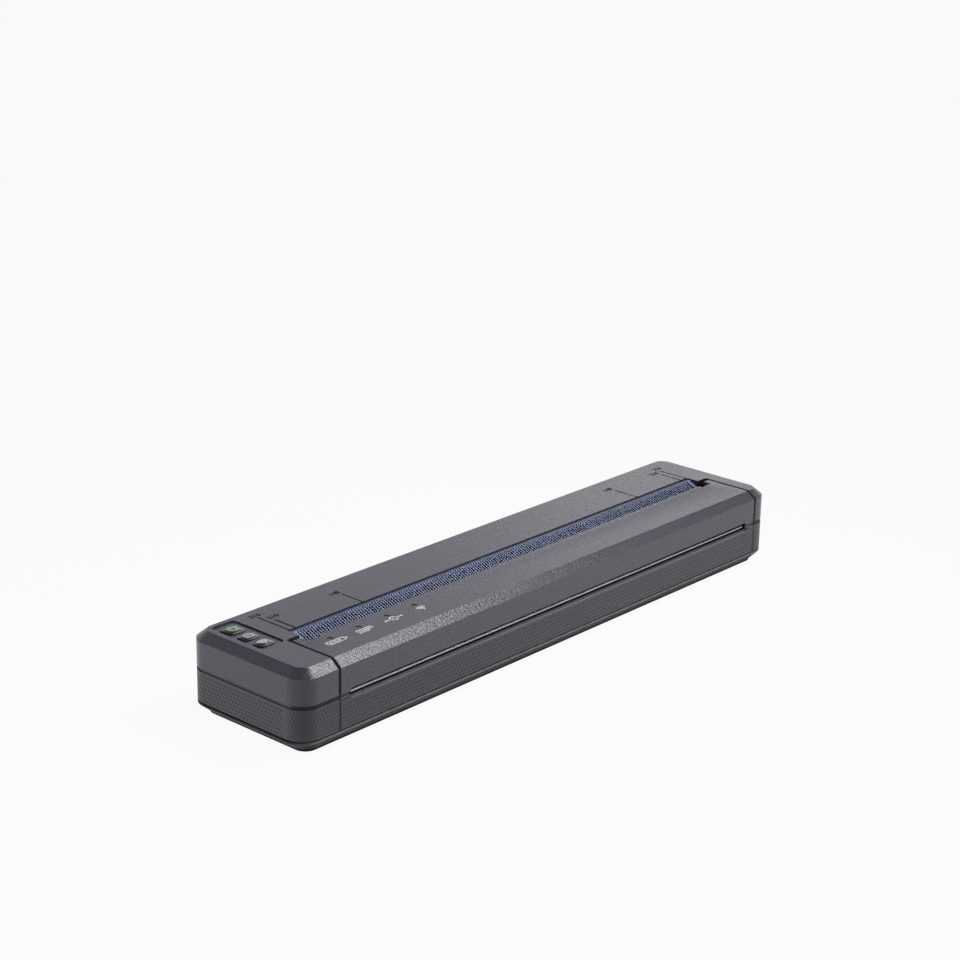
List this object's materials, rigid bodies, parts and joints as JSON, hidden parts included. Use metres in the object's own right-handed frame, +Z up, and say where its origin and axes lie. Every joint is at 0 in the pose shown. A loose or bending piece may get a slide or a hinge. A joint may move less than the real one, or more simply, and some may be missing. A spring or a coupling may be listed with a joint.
{
  "type": "portable thermal printer",
  "caption": "Flat portable page printer with a hinged release cover over its platen, a ribbed feed mouth, a sprung print head and a drop-out battery pack.",
  "frame": {"origin": "centre of the underside of the feet, under the middle of the case", "axes": "+X along the case towards the end with the sockets, +Y from the output slot to the rear, +Z up"},
  "size_m": [0.255, 0.055, 0.0302],
  "materials": {
    "case": "fine texture",
    "dotted": "fine dots",
    "black_plastic": "satin",
    "blue_plastic": "satin",
    "button_plastic": "satin",
    "lens": "smoked",
    "steel": "bright",
    "motor_steel": "satin",
    "rubber": "matt",
    "gear_plastic": "satin",
    "brass": "bright",
    "board": "lacquered",
    "part_black": "moulded",
    "ceramic": "glazed",
    "aluminium": "extruded",
    "cell": "sleeved"
  },
  "bodies": {
    "case": {"base_tray": "case", "lower_case": "dotted", "front_panel": "dotted", "upper_case": "case", "feed_ramp": "blue_plastic", "chassis": "black_plastic", "hinge_pins": "steel", "gear_axles": "steel", "drive_motor": "motor_steel", "motor_screws": "steel", "head_springs": "steel", "main_board": "board", "wireless_module": "motor_steel", "head_connector": "gear_plastic", "board_screws": "steel", "port_board": "board", "usb_socket": "steel", "power_socket": "part_black", "button_board": "board", "button_switches": "part_black", "button_board_screws": "steel", "battery_contacts": "brass", "paper_sensor": "part_black", "cover_catches": "steel", "rubber_feet": "rubber", "case_screws": "steel", "chassis_screws": "steel"},
    "cover": {"release_cover": "case", "tear_bar": "steel", "cover_guide": "black_plastic", "platen_bushes": "gear_plastic", "status_lights": "lens", "light_board": "board"},
    "platen": {"platen_roller": "rubber", "platen_shaft": "steel", "platen_gear": "gear_plastic"},
    "idler": {"idler_gear": "gear_plastic"},
    "reduction": {"reduction_gear": "gear_plastic"},
    "rotor": {"motor_pinion": "brass"},
    "head": {"print_head": "ceramic", "heat_sink": "aluminium", "head_pivots": "steel"},
    "power_key": {"power_button": "button_plastic"},
    "feed_key": {"feed_button": "button_plastic"},
    "wireless_key": {"wireless_button": "button_plastic"},
    "battery": {"battery_case": "case", "battery_cells": "cell", "battery_terminals": "brass"}
  },
  "joints": [
    {"name": "cover_hinge", "type": "hinge", "parent": "case", "child": "cover", "pos_m": [0, -0.0075, 0.0274], "axis": [-1, 0, 0], "range_deg": [0, 80]},
    {"name": "platen_spin", "type": "hinge", "parent": "cover", "child": "platen", "pos_m": [0, -0.02124, 0.02371], "axis": [1, 0, 0], "continuous": true},
    {"name": "idler_spin", "type": "hinge", "parent": "case", "child": "idler", "pos_m": [0, -0.01699, 0.01635], "axis": [1, 0, 0], "continuous": true},
    {"name": "reduction_spin", "type": "hinge", "parent": "case", "child": "reduction", "pos_m": [0, -0.01133, 0.01069], "axis": [1, 0, 0], "continuous": true},
    {"name": "motor_spin", "type": "hinge", "parent": "case", "child": "rotor", "pos_m": [0, -0.00247, 0.01226], "axis": [1, 0, 0], "continuous": true},
    {"name": "head_tilt", "type": "hinge", "parent": "case", "child": "head", "pos_m": [0, -0.01242, 0.02073], "axis": [1, 0, 0], "range_deg": [0, 2], "stiffness_Nm_per_rad": 4, "springref_deg": -2.86},
    {"name": "power_press", "type": "slide", "parent": "case", "child": "power_key", "axis": [0, 0, -1], "range_m": [0, 0.0005], "stiffness_N_per_m": 400, "springref_m": -0.0002},
    {"name": "feed_press", "type": "slide", "parent": "case", "child": "feed_key", "axis": [0, 0, -1], "range_m": [0, 0.0005], "stiffness_N_per_m": 400, "springref_m": -0.0002},
    {"name": "wireless_press", "type": "slide", "parent": "case", "child": "wireless_key", "axis": [0, 0, -1], "range_m": [0, 0.0005], "stiffness_N_per_m": 400, "springref_m": -0.0002},
    {"name": "battery_drop", "type": "slide", "parent": "case", "child": "battery", "axis": [0, 0, -1], "range_m": [0, 0.026]}
  ],
  "couplings": [
    {"joint": "idler_spin", "follows": "platen_spin", "ratio": -0.7},
    {"joint": "reduction_spin", "follows": "platen_spin", "ratio": 1.1667},
    {"joint": "motor_spin", "follows": "platen_spin", "ratio": -3.0333}
  ]
}
